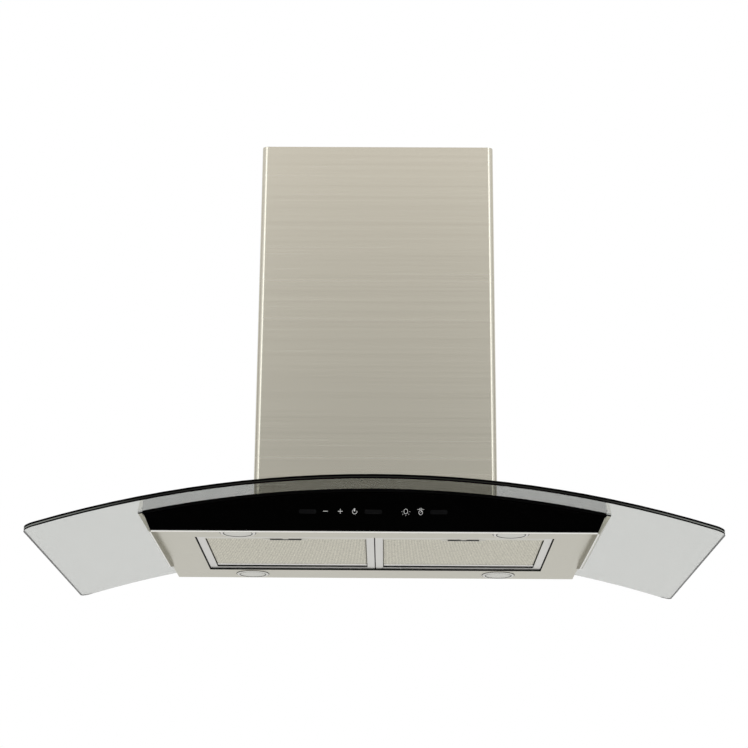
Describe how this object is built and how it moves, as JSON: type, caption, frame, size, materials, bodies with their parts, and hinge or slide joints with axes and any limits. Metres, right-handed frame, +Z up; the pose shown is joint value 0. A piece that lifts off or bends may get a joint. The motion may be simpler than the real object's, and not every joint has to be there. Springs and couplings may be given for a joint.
{
  "type": "wall-mounted range hood",
  "caption": "Wall-mounted kitchen range hood with a curved glass canopy, telescopic chimney, tilting grease filters, round lamps and a centrifugal blower.",
  "frame": {"origin": "centre of the four wall-fixing holes, on the wall plane", "axes": "+X to the right as the cook sees it, +Y back into the wall, +Z up"},
  "size_m": [0.9, 0.485, 0.636],
  "materials": {
    "canopy_glass": "clear grey, polished edges",
    "brushed_steel": "brushed, fine grain",
    "galvanised_steel": "zinc coated, matt",
    "panel_glass": "black back-printed glass, gloss",
    "rubber_black": "matt",
    "foam_grey": "closed-cell foam",
    "display_dark": "smoked",
    "board_green": "lacquered",
    "plastic_black": "fine texture",
    "plastic_white": "smooth",
    "nylon_white": "smooth",
    "chrome": "polished",
    "frosted_glass": "frosted, translucent",
    "filter_aluminium": "bright anodised",
    "spring_steel": "bright",
    "screw_steel": "zinc plated",
    "scroll_plastic": "moulded",
    "motor_enamel": "satin"
  },
  "bodies": {
    "hood": {"air_throat": "galvanised_steel", "board_cover": "plastic_black", "body_shell": "brushed_steel", "cable_gland": "plastic_black", "chimney_brackets": "galvanised_steel", "control_box": "plastic_white", "control_box_lid": "plastic_white", "control_panel": "panel_glass", "damper_rod": "screw_steel", "display_modules": "display_dark", "glass_canopy": "canopy_glass", "glass_gasket": "rubber_black", "glass_nuts": "screw_steel", "glass_pads": "rubber_black", "glass_screws": "chrome", "glass_sleeves": "nylon_white", "housing_cover": "galvanised_steel", "lamp_bezel_front_left": "chrome", "lamp_bezel_front_right": "chrome", "lamp_bezel_rear_left": "chrome", "lamp_bezel_rear_right": "chrome", "lamp_bodies": "galvanised_steel", "lamp_lens_front_left": "frosted_glass", "lamp_lens_front_right": "frosted_glass", "lamp_lens_rear_left": "frosted_glass", "lamp_lens_rear_right": "frosted_glass", "lower_chimney": "brushed_steel", "m4_screws": "screw_steel", "motor_bearings": "chrome", "motor_body": "motor_enamel", "motor_bracket": "galvanised_steel", "motor_bushes": "rubber_black", "motor_housing": "galvanised_steel", "outlet_adapter": "scroll_plastic", "outlet_collar": "plastic_black", "panel_seal": "rubber_black", "panel_tape": "foam_grey", "power_board": "board_green", "run_capacitor": "plastic_white", "scroll_left": "scroll_plastic", "scroll_right": "scroll_plastic", "top_plate": "galvanised_steel", "touch_board": "board_green", "underside_panel": "brushed_steel"},
    "upper_chimney": {"upper_chimney": "brushed_steel", "upper_bracket": "galvanised_steel"},
    "fan_rotor": {"blower_rotor": "galvanised_steel", "motor_shaft": "screw_steel"},
    "filter_left": {"filter_frame_left": "filter_aluminium", "filter_mesh_left": "filter_aluminium", "filter_core_left": "filter_aluminium", "latch_spring_left": "spring_steel"},
    "filter_right": {"filter_frame_right": "filter_aluminium", "filter_mesh_right": "filter_aluminium", "filter_core_right": "filter_aluminium", "latch_spring_right": "spring_steel"},
    "latch_left": {"filter_latch_left": "filter_aluminium"},
    "latch_right": {"filter_latch_right": "filter_aluminium"},
    "flap_front": {"damper_flap_front": "plastic_black"},
    "flap_rear": {"damper_flap_rear": "plastic_black"}
  },
  "joints": [
    {"name": "upper_chimney_slide", "type": "slide", "parent": "hood", "child": "upper_chimney", "axis": [0, 0, 1], "range_m": [0, 0.38]},
    {"name": "filter_left_tilt", "type": "hinge", "parent": "hood", "child": "filter_left", "pos_m": [-0.12087, -0.129, -0.1835], "axis": [1, 0, 0], "range_deg": [0, 75]},
    {"name": "filter_right_tilt", "type": "hinge", "parent": "hood", "child": "filter_right", "pos_m": [0.12087, -0.129, -0.1835], "axis": [1, 0, 0], "range_deg": [0, 75]},
    {"name": "latch_left_slide", "type": "slide", "parent": "filter_left", "child": "latch_left", "axis": [0, 1, 0], "range_m": [0, 0.0042], "stiffness_N_per_m": 300, "springref_m": -0.001, "deforming": ["latch_spring_left"]},
    {"name": "latch_right_slide", "type": "slide", "parent": "filter_right", "child": "latch_right", "axis": [0, 1, 0], "range_m": [0, 0.0042], "stiffness_N_per_m": 300, "springref_m": -0.001, "deforming": ["latch_spring_right"]},
    {"name": "flap_front_swing", "type": "hinge", "parent": "hood", "child": "flap_front", "pos_m": [0, -0.1, 0.137], "axis": [-1, 0, 0], "range_deg": [0, 80]},
    {"name": "flap_rear_swing", "type": "hinge", "parent": "hood", "child": "flap_rear", "pos_m": [0, -0.1, 0.137], "axis": [1, 0, 0], "range_deg": [0, 80]},
    {"name": "fan_spin", "type": "hinge", "parent": "hood", "child": "fan_rotor", "pos_m": [0, -0.128, -0.017], "axis": [1, 0, 0], "continuous": true}
  ]
}
